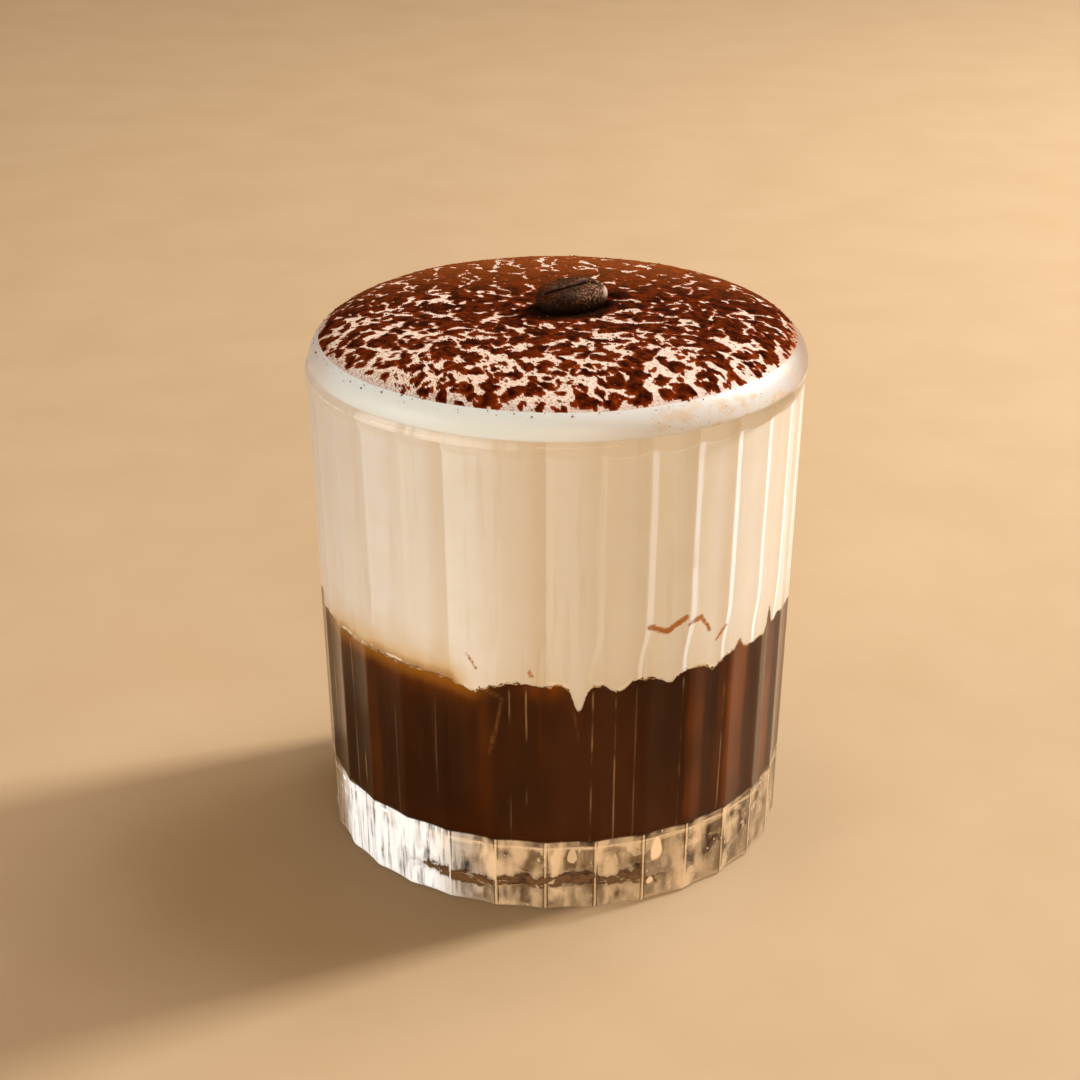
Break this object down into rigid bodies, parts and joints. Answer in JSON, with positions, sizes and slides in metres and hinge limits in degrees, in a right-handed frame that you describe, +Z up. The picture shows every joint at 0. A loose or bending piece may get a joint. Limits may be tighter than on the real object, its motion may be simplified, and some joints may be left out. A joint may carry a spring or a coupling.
{
  "type": "tiramisu cold brew",
  "caption": "Layered iced coffee drink in a clear ribbed tumbler: cold brew under thick cream, domed over the rim, dusted with cocoa and topped with a coffee bean.",
  "frame": {"origin": "on the table, under the middle of the glass", "axes": "+Z up along the glass, -Y towards the picture's camera, +X to its right"},
  "size_m": [0.0821, 0.082, 0.0952],
  "materials": {
    "glass": "clear pressed glass, glossy",
    "coffee": "dark brown liquid, glossy",
    "cream": "ivory whipped cream, satin, with a matte cocoa crust",
    "coffee_bean": "dark roasted, satin with a light oily shine"
  },
  "bodies": {
    "root": {"glass": "glass", "coffee": "coffee", "cream": "cream", "coffee_bean": "coffee_bean"}
  },
  "joints": []
}
